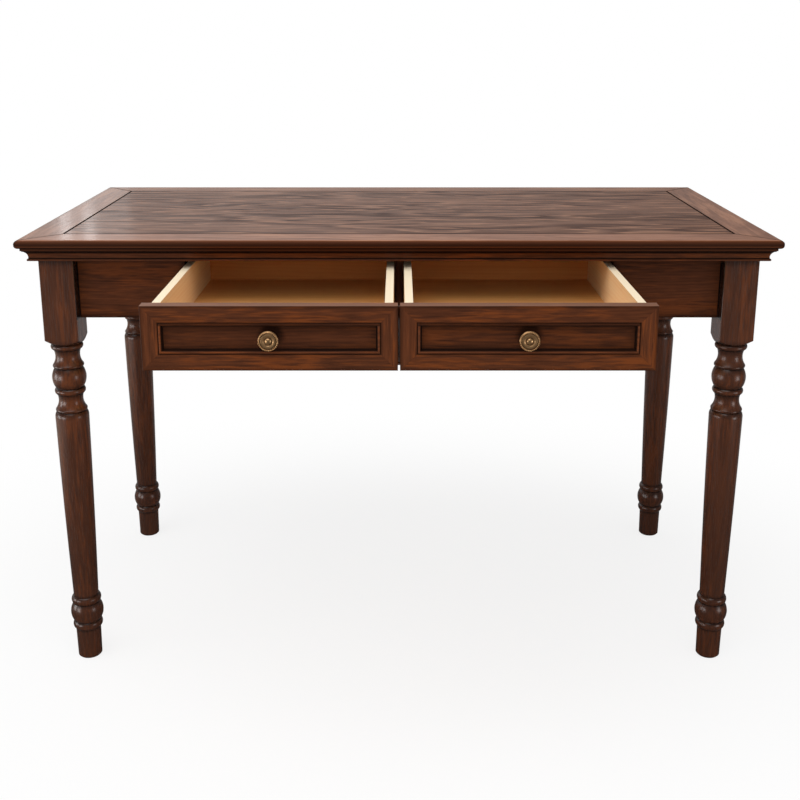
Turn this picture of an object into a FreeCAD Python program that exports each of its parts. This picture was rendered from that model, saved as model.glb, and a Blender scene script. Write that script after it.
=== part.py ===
import FreeCAD, Part
import math
import os

# A writing desk with two drawers, standing on four turned legs.
# Sizes are in millimetres. X runs along the desk, Y from its front to its back, Z up.
# The origin lies on the floor, under the middle of the top.

Vec = FreeCAD.Vector
ORIGIN = Vec(0, 0, 0)
ALONG_X = Vec(1, 0, 0)
UPWARD = Vec(0, 0, 1)

# Whole desk
desk_width = 1220.0
desk_depth = 610.0
desk_height = 762.0
cut_overrun = 2.0
arris = 0.8

# Top: a mitred border round glued boards, joined with tongues
top_thickness = 18.0
top_border_width = 62.0
top_board_count = 4
top_board_arris = 0.4
top_tongue_length = 8.0
top_tongue_thickness = 6.0
top_edge_radius = 6.0
top_edge_step_height = 4.0
top_edge_step_setback = 7.0

# Cove and bead moulding under the top
moulding_setback = 9.0
moulding_lip_height = 1.5
moulding_lip_width = 1.0
moulding_cove_height = 12.5
moulding_bead_height = 4.0
moulding_bead_setback = 5.5

# Legs: a square post above a turned column
post_size = 56.0
post_setback = 28.0
post_length = 164.0
post_arris = 1.2
pommel_height = 10.0
pommel_radius = 24.4
foot_height = 56.0
foot_radius = 20.5
foot_round = 2.5
ankle_radius = 21.4
ankle_ring_height = 14.0
ankle_ring_seat_radius = 22.4
ankle_ring_radius = 25.4
low_ball_height = 34.0
low_ball_seat_radius = 22.8
low_ball_radius = 28.0
low_ring_height = 14.0
low_ring_seat_radius = 22.0
low_ring_radius = 25.4
shaft_low_radius = 21.2
shaft_middle_radius = 25.2
shaft_high_radius = 27.8
shoulder_height = 9.0
shoulder_middle_radius = 27.2
shoulder_top_radius = 24.8
throat_lip_height = 6.0
throat_lip_seat_radius = 23.4
throat_lip_radius = 26.0
throat_height = 25.0
throat_low_radius = 24.8
throat_radius = 20.2
throat_high_radius = 21.8
ring_height = 11.0
ring_seat_radius = 22.4
ring_radius = 25.4
ball_height = 35.0
ball_seat_radius = 22.6
ball_radius = 28.0
neck_lip_height = 6.0
neck_lip_seat_radius = 22.8
neck_lip_radius = 25.4
neck_height = 26.0
neck_low_radius = 24.2
neck_radius = 20.0
neck_high_radius = 22.6
collar_height = 10.0
collar_seat_radius = 23.4
collar_radius = 26.4

# Aprons between the posts
apron_drop = 102.0
apron_thickness = 20.0
side_apron_setback = 12.0
front_setback = 22.0
tenon_length = 22.0
tenon_thickness = 10.0
tenon_shoulder = 12.0

# Front rails and the divider between the drawers
top_rail_depth = 50.0
top_rail_tenon_shoulder = 4.0
low_rail_height = 16.0
low_rail_tenon_length = 15.0
low_rail_tenon_shoulder = 4.0
end_board_width = 176.0
divider_thickness = 12.0

# Runners below the drawers, kickers above them and the rails that stop them
runner_width = 44.0
runner_overlap = 22.0
guide_height = 60.0
runner_clearance = 0.3
kicker_clearance = 1.0
stop_rail_thickness = 20.0
stop_rail_drop = 28.0
stop_clearance = 0.5

# Corner blocks, and the screws that hold the top down
corner_block_height = 28.0
corner_block_leg = 72.0
corner_screw_inset = 18.0
screw_radius = 2.2
screw_head_radius = 4.5
screw_head_height = 3.0
screw_reach = 12.0
screw_clearance = 0.3
kicker_screw_spacing = 300.0

# Drawers: the length that the stops hold in the desk, and the share of the travel open at rest
drawer_held_length = 100.0
drawer_open_share = 0.8
front_height = 92.0
front_thickness = 20.0
front_top_gap = 4.0
front_lip = 6.5
meeting_lip_thickness = 6.0
meeting_lip_drop = 4.0
meeting_gap = 0.3
frame_width = 23.5
panel_recess = 7.0
panel_thickness = 8.0
panel_tongue = 8.0
bead_strip_width = 6.5
bead_strip_shoulder = 4.4
bead_groove = 1.1
bead_width = 3.2
bead_rise = 3.2
bead_foot = 1.2
box_clearance = 2.0
box_rear_gap = 30.0
side_thickness = 12.0
side_height = 74.0
side_housing = 5.0
bottom_thickness = 6.0
bottom_lift = 6.0
bottom_groove = 6.0
back_thickness = 12.0
back_housing = 4.0
back_drop = 6.0
stop_block_width = 60.0
stop_block_thickness = 10.0
stop_block_lap = 24.0
stop_block_rise = 14.0

# Knobs, measured outwards from the drawer panel
knob_foot_radius = 9.0
knob_foot_height = 2.4
knob_stem_radius = 4.8
knob_stem_height = 15.0
knob_back_radius = 7.5
knob_head_radius = 14.3
knob_head_height = 5.0
knob_rim_width = 3.0
knob_groove_depth = 1.2
knob_ring_width = 5.4
knob_ring_rise = 1.3
knob_button_radius = 4.2
knob_button_rise = 1.6
knob_screw_radius = 2.0
knob_screw_head_radius = 4.5
knob_screw_head_height = 2.5
knob_screw_depth = 13.0

# Heights and faces that several pieces share
top_under = desk_height - top_thickness
moulding_height = moulding_lip_height + moulding_cove_height + moulding_bead_height
moulding_under = top_under - moulding_height
apron_under = moulding_under - apron_drop
low_rail_top = apron_under + low_rail_height
post_under = top_under - post_length
leg_x = desk_width / 2 - post_setback - post_size / 2
leg_y = desk_depth / 2 - post_setback - post_size / 2
post_inner_x = leg_x - post_size / 2
post_inner_y = leg_y - post_size / 2
side_apron_x = desk_width / 2 - post_setback - side_apron_setback
back_apron_y = desk_depth / 2 - post_setback - side_apron_setback
back_apron_face = back_apron_y - apron_thickness
front_face = post_setback + front_setback - desk_depth / 2
front_back_face = front_face + apron_thickness
top_rail_front = post_setback - desk_depth / 2
top_rail_back = top_rail_front + top_rail_depth
field_x = desk_width / 2 - top_border_width
field_y = desk_depth / 2 - top_border_width

# Places of the drawers
opening_x = post_inner_x - end_board_width
box_inner_x = divider_thickness / 2 + box_clearance
box_width = opening_x - box_clearance - box_inner_x
box_length = back_apron_face - front_face - box_rear_gap
front_width = box_width + front_lip + front_lip
drawer_x = box_inner_x + box_width / 2
drawer_travel = box_length - drawer_held_length
drawer_opening = drawer_travel * drawer_open_share
front_top = moulding_under - front_top_gap
front_middle = front_top - front_height / 2
side_under = low_rail_top + runner_clearance
side_top = side_under + side_height
bottom_under = side_under + bottom_lift
bottom_top = bottom_under + bottom_thickness
back_top = side_top - back_drop
box_rear = front_thickness + box_length
drawer_y = front_face - drawer_opening - front_thickness
kicker_under = side_top + kicker_clearance
stop_rail_rear = front_face + drawer_held_length - stop_clearance
runner_inner_x = opening_x - runner_overlap
quarter_share = math.sqrt(0.5)
SIDES = (("left", -1), ("right", 1))


def box(x_range, y_range, z_range):
    """Return a box between two limits along each axis, given in either order."""
    low = [min(limits) for limits in (x_range, y_range, z_range)]
    size = [max(limits) - min(limits) for limits in (x_range, y_range, z_range)]
    return Part.makeBox(*size, Vec(*low))


def centred(middle, size):
    """Return the two limits of a size about its middle."""
    return middle - size / 2, middle + size / 2


def outline(start, steps):
    """Return the face inside lines and arcs: a step of two points is an arc through the first."""
    edges = []
    for step in steps:
        end = step[-1]
        curve = Part.LineSegment(start, end)
        if len(step) > 1:
            curve = Part.Arc(start, step[0], end)
        edges.append(curve.toShape())
        start = end
    return Part.Face(Part.Wire(edges))


def chamfer_top(shape, size):
    """Return a board with the arrises round its upper face taken off."""
    level = shape.BoundBox.ZMax
    upper = [edge for edge in shape.Edges if math.isclose(edge.BoundBox.ZMin, level)]
    return shape.makeChamfer(size, upper)


def write(name, shape):
    """Write one piece, after testing that its solids are whole."""
    if not shape.isValid() or not shape.Solids:
        raise ValueError(name + " is not a whole solid")
    shape.exportStep(os.path.join("parts", name + ".step"))


def mitred_strip(section, half_length, half_across, width):
    """Return one strip of a flat mitred frame, with its section in Y (inset) and Z."""
    bar = section.translated(Vec(-half_length, -half_across, 0)).extrude(ALONG_X * (2 * half_length))
    inner_length = half_length - width
    inner_across = half_across - width
    low = bar.BoundBox.ZMin - cut_overrun
    corners = [
        Vec(-half_length, -half_across, low),
        Vec(half_length, -half_across, low),
        Vec(inner_length, -inner_across, low),
        Vec(-inner_length, -inner_across, low),
    ]
    plan = Part.Face(Part.makePolygon(corners + corners[:1]))
    return bar.common(plan.extrude(UPWARD * (bar.BoundBox.ZMax - low + cut_overrun)))


def mitred_frame(section, half_x, half_y, width):
    """Return the strips of a flat mitred frame about the origin, by the side that each lies on."""
    turns = {"front": 0, "right": 90, "back": 180, "left": 270}
    strips = {}
    for side, angle in turns.items():
        reach = (half_x, half_y) if side in ("front", "back") else (half_y, half_x)
        strips[side] = mitred_strip(section, *reach, width).rotated(ORIGIN, UPWARD, angle)
    return strips


def border_section():
    """Return the section of the top's border: a rounded nose over a small step, square inside."""
    nose = top_edge_radius
    bend = nose - nose * quarter_share
    nose_under = top_edge_step_height
    points = [
        [Vec(0, top_border_width - top_board_arris, top_thickness)],
        [Vec(0, top_border_width, top_thickness - top_board_arris)],
        [Vec(0, top_border_width, 0)],
        [Vec(0, top_edge_step_setback, 0)],
        [Vec(0, top_edge_step_setback, nose_under)],
        [Vec(0, nose, nose_under)],
        [Vec(0, bend, nose_under + bend), Vec(0, 0, nose_under + nose)],
        [Vec(0, 0, top_thickness - nose)],
        [Vec(0, bend, top_thickness - bend), Vec(0, nose, top_thickness)],
    ]
    return outline(Vec(0, nose, top_thickness), points)


def moulding_section():
    """Return the section of the moulding: a lip, a cove and a bead from the top down."""
    width = post_setback - moulding_setback
    bead = moulding_bead_height / 2
    cove_foot = moulding_bead_setback + bead
    cove_width = cove_foot - moulding_lip_width
    lip_under = moulding_bead_height + moulding_cove_height
    cove_middle = Vec(
        0,
        moulding_lip_width + cove_width * quarter_share,
        moulding_bead_height + moulding_cove_height * quarter_share,
    )
    points = [
        [Vec(0, width, moulding_height)],
        [Vec(0, width, 0)],
        [Vec(0, cove_foot, 0)],
        [Vec(0, moulding_bead_setback, bead), Vec(0, cove_foot, moulding_bead_height)],
        [cove_middle, Vec(0, moulding_lip_width, lip_under)],
        [Vec(0, 0, lip_under)],
        [Vec(0, 0, moulding_height)],
    ]
    return outline(Vec(0, 0, moulding_height), points)


def top_tongues():
    """Return the slab that the boards' tongues fill inside the border's grooves."""
    return box(
        centred(0, 2 * (field_x + top_tongue_length)),
        centred(0, 2 * (field_y + top_tongue_length)),
        centred(top_under + top_thickness / 2, top_tongue_thickness),
    )


def top_board(index):
    """Return one long board of the top, counted from the front, with its tongues."""
    width = 2 * field_y / top_board_count
    front = index * width - field_y
    rear = front + width
    board = box((-field_x, field_x), (front, rear), (top_under, desk_height))
    tongue_front = front - top_tongue_length if index == 0 else front
    tongue_rear = rear + top_tongue_length if index == top_board_count - 1 else rear
    reach = field_x + top_tongue_length
    slab = box((-reach, reach), (tongue_front, tongue_rear), (top_under, desk_height))
    return chamfer_top(board, top_board_arris).fuse(slab.common(top_tongues())).removeSplitter()


def make_top():
    """Return the boards and the mitred border of the top."""
    border = mitred_frame(border_section(), desk_width / 2, desk_depth / 2, top_border_width)
    holes = screw_holes()
    pieces = {}
    for index in range(top_board_count):
        pieces["top_board_" + str(index + 1)] = top_board(index).cut(holes)
    for side, strip in border.items():
        seated = strip.translated(UPWARD * top_under)
        pieces["top_border_" + side] = seated.cut(top_tongues()).cut(holes)
    return pieces


def make_moulding():
    """Return the four mitred strips of moulding under the top's edge."""
    width = post_setback - moulding_setback
    half_x = desk_width / 2 - moulding_setback
    half_y = desk_depth / 2 - moulding_setback
    strips = mitred_frame(moulding_section(), half_x, half_y, width)
    return {"moulding_" + side: strip.translated(UPWARD * moulding_under) for side, strip in strips.items()}


def leg_turnings():
    """Return the turned elements from the floor up: height, low, middle and high radius."""
    below = [
        (foot_height, foot_radius, None, ankle_radius),
        (ankle_ring_height, ankle_ring_seat_radius, ankle_ring_radius, ankle_ring_seat_radius),
        (low_ball_height, low_ball_seat_radius, low_ball_radius, low_ball_seat_radius),
        (low_ring_height, low_ring_seat_radius, low_ring_radius, low_ring_seat_radius),
    ]
    above = [
        (shoulder_height, shaft_high_radius, shoulder_middle_radius, shoulder_top_radius),
        (throat_lip_height, throat_lip_seat_radius, throat_lip_radius, throat_low_radius),
        (throat_height, throat_low_radius, throat_radius, throat_high_radius),
        (ring_height, ring_seat_radius, ring_radius, ring_seat_radius),
        (ball_height, ball_seat_radius, ball_radius, ball_seat_radius),
        (neck_lip_height, neck_lip_seat_radius, neck_lip_radius, neck_low_radius),
        (neck_height, neck_low_radius, neck_radius, neck_high_radius),
        (collar_height, collar_seat_radius, collar_radius, collar_seat_radius),
    ]
    shaft_length = post_under - sum(element[0] for element in below + above)
    shaft = (shaft_length, shaft_low_radius, shaft_middle_radius, shaft_high_radius)
    return below + [shaft] + above


def turned_column():
    """Return the turned part of a leg about the Z axis, up to the foot of its post."""
    steps = [[Vec(foot_radius - foot_round, 0, 0)], [Vec(foot_radius, 0, foot_round)]]
    height = 0
    radius = foot_radius
    for element_height, low, middle, high in leg_turnings():
        if not math.isclose(low, radius):
            steps.append([Vec(low, 0, height)])
        end = Vec(high, 0, height + element_height)
        if middle is None:
            steps.append([end])
        else:
            steps.append([Vec(middle, 0, height + element_height / 2), end])
        height += element_height
        radius = high
    steps.append([Vec(0, 0, height)])
    steps.append([ORIGIN])
    return outline(ORIGIN, steps).revolve(ORIGIN, UPWARD, 360)


def square_post():
    """Return the square post of a leg, with its lower corners cut to a cone on the lathe."""
    half = post_size / 2
    corner = half / quarter_share
    post = box((-half, half), (-half, half), (post_under, top_under))
    upright = [edge for edge in post.Edges if edge.BoundBox.ZLength > post_size]
    cone = Part.makeCone(pommel_radius, corner, pommel_height, UPWARD * post_under)
    above = Part.makeCylinder(corner, post_length, UPWARD * (post_under + pommel_height))
    return post.makeChamfer(post_arris, upright).common(cone.fuse(above))


def make_legs(tenoned):
    """Return the four legs, mortised for the tenons of the boards that they carry."""
    blank = turned_column().fuse(square_post()).removeSplitter()
    legs = {}
    for end, y_sign in (("front", -1), ("back", 1)):
        for side, x_sign in SIDES:
            leg = blank.translated(Vec(x_sign * leg_x, y_sign * leg_y, 0))
            for board in tenoned:
                leg = leg.cut(board)
            legs["leg_" + end + "_" + side] = leg
    return legs


def tenoned_board(x_range, y_range, z_range, ends, shoulder):
    """Return a board along X with a tenon on each of the named ends."""
    board = box(x_range, y_range, z_range)
    tenon_y = centred(sum(y_range) / 2, tenon_thickness)
    tenon_z = (z_range[0] + shoulder, z_range[1] - shoulder)
    left = x_range[0] - tenon_length if "left" in ends else x_range[0]
    right = x_range[1] + tenon_length if "right" in ends else x_range[1]
    return board.fuse(box((left, right), tenon_y, tenon_z)).removeSplitter()


def make_aprons():
    """Return the side and back aprons, with their tenons."""
    height = (apron_under, top_under)
    ends = ("left", "right")
    side_y = (-side_apron_x, apron_thickness - side_apron_x)
    side = tenoned_board((-post_inner_y, post_inner_y), side_y, height, ends, tenon_shoulder)
    back_y = (back_apron_face, back_apron_y)
    back = tenoned_board((-post_inner_x, post_inner_x), back_y, height, ends, tenon_shoulder)
    return {
        "apron_left": side.rotated(ORIGIN, UPWARD, -90),
        "apron_right": side.rotated(ORIGIN, UPWARD, 90),
        "apron_back": back,
    }


def low_rail():
    """Return the rail under the drawers, with tenons into the end boards."""
    depth = (front_face, front_back_face)
    rail = box((-opening_x, opening_x), depth, (apron_under, low_rail_top))
    reach = opening_x + low_rail_tenon_length
    tenon_z = (apron_under + low_rail_tenon_shoulder, low_rail_top - low_rail_tenon_shoulder)
    tenons = box((-reach, reach), centred(sum(depth) / 2, tenon_thickness), tenon_z)
    return rail.fuse(tenons).removeSplitter()


def make_front():
    """Return the fixed front: end boards, rails and the divider between the drawers."""
    depth = (front_face, front_back_face)
    end_z = (apron_under, moulding_under)
    rail = low_rail()
    left = tenoned_board((-post_inner_x, -opening_x), depth, end_z, ("left",), tenon_shoulder)
    right = tenoned_board((opening_x, post_inner_x), depth, end_z, ("right",), tenon_shoulder)
    return {
        "front_board_left": left.cut(rail),
        "front_board_right": right.cut(rail),
        "front_top_rail": tenoned_board(
            (-post_inner_x, post_inner_x),
            (top_rail_front, top_rail_back),
            (moulding_under, top_under),
            ("left", "right"),
            top_rail_tenon_shoulder,
        ),
        "front_low_rail": rail,
        "drawer_divider": box(centred(0, divider_thickness), depth, (low_rail_top, moulding_under)),
    }


def make_runners():
    """Return the runners that carry the drawers, each with its guide."""
    run = (front_back_face, back_apron_face)
    base_z = (apron_under, low_rail_top)
    guide_z = (low_rail_top, low_rail_top + guide_height)
    outer_x = runner_inner_x + runner_width
    middle_x = divider_thickness / 2 + runner_overlap
    runners = {}
    for side, sign in SIDES:
        base = box((sign * runner_inner_x, sign * outer_x), run, base_z)
        guide = box((sign * opening_x, sign * outer_x), run, guide_z)
        runners["drawer_runner_" + side] = base.fuse(guide).removeSplitter()
    base = box((-middle_x, middle_x), run, base_z)
    guide = box(centred(0, divider_thickness), run, guide_z)
    runners["drawer_runner_centre"] = base.fuse(guide).removeSplitter()
    return runners


def make_kickers():
    """Return the kickers over the drawers' sides and the stop rails between them."""
    run = (top_rail_back, back_apron_face)
    height = (kicker_under, top_under)
    holes = screw_holes()
    outer_x = runner_inner_x + runner_width
    middle_x = divider_thickness / 2 + runner_overlap
    stop_y = (stop_rail_rear - stop_rail_thickness, stop_rail_rear)
    stop_z = (top_under - stop_rail_drop, top_under)
    kickers = {"drawer_kicker_centre": box((-middle_x, middle_x), run, height).cut(holes)}
    stops = []
    for side, sign in SIDES:
        kicker = box((sign * runner_inner_x, sign * outer_x), run, height)
        kickers["drawer_kicker_" + side] = kicker.cut(holes)
        stops.append(box((sign * middle_x, sign * runner_inner_x), stop_y, stop_z))
    kickers["drawer_stop_rails"] = Part.makeCompound(stops)
    return kickers


def corner_block(x_sign, y_sign):
    """Return the block glued into one inner corner, cut round the post."""
    rail_y = back_apron_face if y_sign > 0 else -top_rail_back
    apron_x = side_apron_x - apron_thickness
    plan = [
        (apron_x, post_inner_y - corner_block_leg),
        (apron_x, post_inner_y),
        (post_inner_x, post_inner_y),
        (post_inner_x, rail_y),
        (post_inner_x - corner_block_leg, rail_y),
    ]
    low = top_under - corner_block_height
    corners = [Vec(x_sign * x, y_sign * y, low) for x, y in plan]
    face = Part.Face(Part.makePolygon(corners + corners[:1]))
    return face.extrude(UPWARD * corner_block_height)


def screw_places():
    """Return the seat of each screw that holds the top down, in the blocks and the kickers."""
    block_x = post_inner_x - corner_screw_inset
    block_y = post_inner_y - corner_screw_inset
    kicker_x = opening_x + (runner_width - runner_overlap) / 2
    places = []
    for y_sign in (-1, 1):
        for x_sign in (-1, 1):
            places.append(Vec(x_sign * block_x, y_sign * block_y, top_under - corner_block_height))
        for x in (-kicker_x, 0, kicker_x):
            places.append(Vec(x, y_sign * kicker_screw_spacing / 2, kicker_under))
    return places


def screw_holes():
    """Return the holes for the screws, through what they hold and up into the top."""
    radius = screw_radius + screw_clearance
    high = top_under + screw_reach + screw_clearance
    holes = []
    for seat in screw_places():
        start = seat - UPWARD * cut_overrun
        holes.append(Part.makeCylinder(radius, high - start.z, start))
    return Part.makeCompound(holes)


def make_corners():
    """Return the corner blocks and the screws, each as a group of like pieces."""
    blocks = [corner_block(x_sign, y_sign) for y_sign in (-1, 1) for x_sign in (-1, 1)]
    holes = screw_holes()
    screws = []
    for seat in screw_places():
        shank = Part.makeCylinder(screw_radius, top_under + screw_reach - seat.z, seat)
        head = Part.makeCylinder(screw_head_radius, screw_head_height, seat - UPWARD * screw_head_height)
        screws.append(shank.fuse(head).removeSplitter())
    return {
        "corner_blocks": Part.makeCompound([block.cut(holes) for block in blocks]),
        "top_screws": Part.makeCompound(screws),
    }


def front_section():
    """Return the section of the drawer front's frame, with its face upwards."""
    points = [
        [Vec(0, frame_width, 0)],
        [Vec(0, frame_width, front_thickness)],
        [Vec(0, arris, front_thickness)],
        [Vec(0, 0, front_thickness - arris)],
        [ORIGIN],
    ]
    return outline(ORIGIN, points)


def bead_section():
    """Return the section of the moulding round the drawer's panel: groove, bead and slope."""
    bead_end = bead_groove + bead_width
    bead_top = Vec(0, bead_groove + bead_width / 2, bead_strip_shoulder + bead_rise)
    points = [
        [Vec(0, bead_strip_width, 0)],
        [Vec(0, bead_strip_width, bead_foot)],
        [Vec(0, bead_end, bead_strip_shoulder)],
        [bead_top, Vec(0, bead_groove, bead_strip_shoulder)],
        [Vec(0, 0, bead_strip_shoulder)],
        [ORIGIN],
    ]
    return outline(ORIGIN, points)


def stood_up(shape, depth):
    """Return a flat frame stood up behind the drawer's face, with its back at a depth."""
    return shape.rotated(ORIGIN, ALONG_X, 90).translated(Vec(0, depth, front_middle))


def drawer_panel():
    """Return the panel that fills the drawer front's frame, without its hole."""
    reach_x = front_width / 2 - frame_width + panel_tongue
    reach_z = front_height / 2 - frame_width + panel_tongue
    depth = (panel_recess, panel_recess + panel_thickness)
    return box((-reach_x, reach_x), depth, centred(front_middle, 2 * reach_z))


def drawer_box():
    """Return the sides, back and bottom of a drawer, about its middle and behind its face."""
    outer = box_width / 2
    inner = outer - side_thickness
    housed = front_thickness - side_housing
    back_front = box_rear - back_thickness
    bottom_x = inner + bottom_groove
    bottom = box((-bottom_x, bottom_x), (housed, box_rear), (bottom_under, bottom_top))
    back_x = inner + back_housing
    back = box((-back_x, back_x), (back_front, box_rear), (bottom_top, back_top))
    pieces = {"back": back, "bottom": bottom}
    for side, sign in SIDES:
        plank = box((sign * inner, sign * outer), (housed, box_rear), (side_under, side_top))
        pieces["side_" + side] = plank.cut(bottom).cut(back)
    return pieces


def drawer_front(carried):
    """Return the drawer front's frame, panel and bead, cut for the pieces that it carries."""
    names = {"front": "bottom_rail", "back": "top_rail", "left": "stile_left", "right": "stile_right"}
    half_x = front_width / 2
    half_z = front_height / 2
    panel = drawer_panel()
    pieces = {}
    for side, strip in mitred_frame(front_section(), half_x, half_z, frame_width).items():
        member = stood_up(strip, front_thickness).cut(panel)
        for piece in carried:
            member = member.cut(piece)
        pieces["front_" + names[side]] = member
    strips = mitred_frame(bead_section(), half_x - frame_width, half_z - frame_width, bead_strip_width)
    beads = [stood_up(strip, panel_recess) for strip in strips.values()]
    pieces["front_bead"] = Part.makeCompound(beads)
    pieces["front_panel"] = panel.cut(knob_screw(screw_clearance))
    return pieces


def meeting_lip(sign):
    """Return the lip behind the inner stile's edge that closes the gap between the two drawer fronts."""
    edge = front_width / 2
    reach = box_inner_x - front_lip - meeting_gap / 2
    depth = (front_thickness - meeting_lip_thickness, front_thickness)
    height = centred(front_middle, front_height - meeting_lip_drop - meeting_lip_drop)
    return box((sign * edge, sign * (edge + reach)), depth, height)


def knob_profile():
    """Return half of the knob's section round its blind hole, in radius and height from the panel."""
    head_low = knob_foot_height + knob_stem_height
    head_high = head_low + knob_head_height
    waist = Vec(knob_stem_radius, 0, knob_foot_height + knob_stem_height / 2)
    rim_inner = knob_head_radius - knob_rim_width
    groove = head_high - knob_groove_depth
    ring_inner = rim_inner - knob_ring_width
    ring_top = Vec(rim_inner - knob_ring_width / 2, 0, groove + knob_ring_rise)
    button_top = head_high + knob_button_rise
    dome_radius = (knob_button_radius ** 2 + knob_button_rise ** 2) / (2 * knob_button_rise)
    dome_angle = math.asin(knob_button_radius / dome_radius) / 2
    button = Vec(
        dome_radius * math.sin(dome_angle), 0, button_top - dome_radius * (1 - math.cos(dome_angle))
    )
    hole_radius = knob_screw_radius + screw_clearance
    hole_depth = knob_screw_depth + screw_clearance
    start = Vec(hole_radius, 0, 0)
    steps = [
        [Vec(knob_foot_radius, 0, 0)],
        [Vec(knob_foot_radius, 0, knob_foot_height / 2)],
        [Vec(knob_back_radius, 0, knob_foot_height)],
        [waist, Vec(knob_back_radius, 0, head_low)],
        [Vec(knob_head_radius - knob_head_height / 2, 0, head_low)],
        [
            Vec(knob_head_radius, 0, head_low + knob_head_height / 2),
            Vec(knob_head_radius - knob_head_height / 2, 0, head_high),
        ],
        [Vec(rim_inner, 0, head_high)],
        [Vec(rim_inner, 0, groove)],
        [ring_top, Vec(ring_inner, 0, groove)],
        [Vec(knob_button_radius, 0, groove)],
        [Vec(knob_button_radius, 0, head_high)],
        [button, Vec(0, 0, button_top)],
        [Vec(0, 0, hole_depth)],
        [Vec(hole_radius, 0, hole_depth)],
        [start],
    ]
    return outline(start, steps)


def on_panel(shape):
    """Return a piece turned about Z, laid against the middle of the drawer's panel."""
    return shape.rotated(ORIGIN, ALONG_X, 90).translated(Vec(0, panel_recess, front_middle))


def knob_screw(clearance):
    """Return the screw that holds a knob from behind the panel, grown by a clearance."""
    radius = knob_screw_radius + clearance
    reach = knob_screw_depth + clearance
    start = -panel_thickness - clearance
    shank = Part.makeCylinder(radius, reach - start, UPWARD * start)
    return on_panel(shank)


def drawer_knob():
    """Return the knob and the screw in its blind hole."""
    knob = on_panel(knob_profile().revolve(ORIGIN, UPWARD, 360))
    head_start = UPWARD * (-panel_thickness - knob_screw_head_height)
    head = on_panel(Part.makeCylinder(knob_screw_head_radius, knob_screw_head_height, head_start))
    return {"knob": knob, "knob_screw": knob_screw(0).fuse(head).removeSplitter()}


def drawer_stop():
    """Return the block on the drawer's back that meets the stop rail."""
    depth = (box_rear, box_rear + stop_block_thickness)
    height = (back_top - stop_block_lap, back_top + stop_block_rise)
    return box(centred(0, stop_block_width), depth, height)


def make_drawers():
    """Return both drawers, standing open as far as they are at rest."""
    pieces = drawer_box()
    carried = [pieces["side_left"], pieces["side_right"], pieces["bottom"]]
    pieces.update(drawer_front(carried))
    pieces.update(drawer_knob())
    pieces["stop"] = drawer_stop()
    drawers = {}
    for side, sign in SIDES:
        place = Vec(sign * drawer_x, drawer_y, 0)
        inner_stile = "front_stile_right" if sign < 0 else "front_stile_left"
        for name, piece in pieces.items():
            if name == inner_stile:
                piece = piece.fuse(meeting_lip(-sign)).removeSplitter()
            drawers["drawer_" + side + "_" + name] = piece.translated(place)
    return drawers


def make_desk():
    """Return every piece of the desk by its name."""
    aprons = make_aprons()
    front = make_front()
    tenoned = [front[name] for name in ("front_board_left", "front_board_right", "front_top_rail")]
    desk = {}
    desk.update(make_top())
    desk.update(make_moulding())
    desk.update(make_legs(list(aprons.values()) + tenoned))
    desk.update(aprons)
    desk.update(front)
    desk.update(make_runners())
    desk.update(make_kickers())
    desk.update(make_corners())
    desk.update(make_drawers())
    return desk


os.makedirs("parts", exist_ok=True)
for piece_name, piece_shape in make_desk().items():
    write(piece_name, piece_shape)
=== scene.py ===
"""Looks of a writing desk with two drawers: its woods, with glaze, painted shade and painted light, its
brass, its beads, the dark strips painted as shade between its fronts, and its stage.
"""

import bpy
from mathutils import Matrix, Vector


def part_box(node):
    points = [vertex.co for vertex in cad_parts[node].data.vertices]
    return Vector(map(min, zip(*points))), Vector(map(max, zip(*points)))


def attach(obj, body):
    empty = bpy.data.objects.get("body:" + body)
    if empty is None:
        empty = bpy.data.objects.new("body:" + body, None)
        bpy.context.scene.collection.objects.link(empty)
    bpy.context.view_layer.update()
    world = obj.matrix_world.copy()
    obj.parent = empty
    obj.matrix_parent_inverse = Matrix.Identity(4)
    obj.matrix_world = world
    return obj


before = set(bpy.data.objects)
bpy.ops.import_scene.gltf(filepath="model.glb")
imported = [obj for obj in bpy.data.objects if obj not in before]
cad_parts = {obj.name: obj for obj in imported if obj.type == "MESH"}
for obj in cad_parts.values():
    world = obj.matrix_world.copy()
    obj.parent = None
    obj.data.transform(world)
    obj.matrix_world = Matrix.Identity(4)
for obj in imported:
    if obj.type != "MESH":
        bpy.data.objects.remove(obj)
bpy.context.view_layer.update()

import math
import random

import bmesh
import bpy
from bpy.props import FloatProperty, FloatVectorProperty, IntProperty, PointerProperty
from mathutils import Matrix, Vector

bl_info = {
    "name": "Writing desk",
    "version": (1, 0, 0),
    "blender": (4, 5, 0),
    "location": "3D View > Sidebar > Desk",
    "description": "Finishes a wooden writing desk with two drawers and sets it on a pale floor",
    "category": "Object",
}

MM = 0.001
WHITE = (1.0, 1.0, 1.0)
DRAWERS = ("drawer_left", "drawer_right")
# Sides of the top, and the axis that the wood of each follows.
SIDES = {"front": "X", "back": "X", "left": "Y", "right": "Y"}
# Axes along, across and through a board, by the axis that its grain follows.
AXES = {"X": ("X", "Y", "Z"), "Y": ("Y", "X", "Z"), "Z": ("Z", "X", "Y")}
# Grain of the next drawer's pieces is drawn this many seeds further on.
DRAWER_SEEDS = 10


def tint(label, default, description):
    """Return a colour property with a linear default."""
    return FloatVectorProperty(
        name=label, description=description, default=default, subtype="COLOR", min=0.0, max=1.0
    )


def length(label, default, description):
    """Return a length property in metres."""
    return FloatProperty(
        name=label, description=description, default=default, unit="LENGTH", precision=4
    )


def power(label, default, description):
    """Return a property for a lamp's power in watts."""
    return FloatProperty(name=label, description=description, default=default, unit="POWER")


def level(label, default, description):
    """Return a property for a level of light."""
    return FloatProperty(name=label, description=description, default=default)


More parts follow.
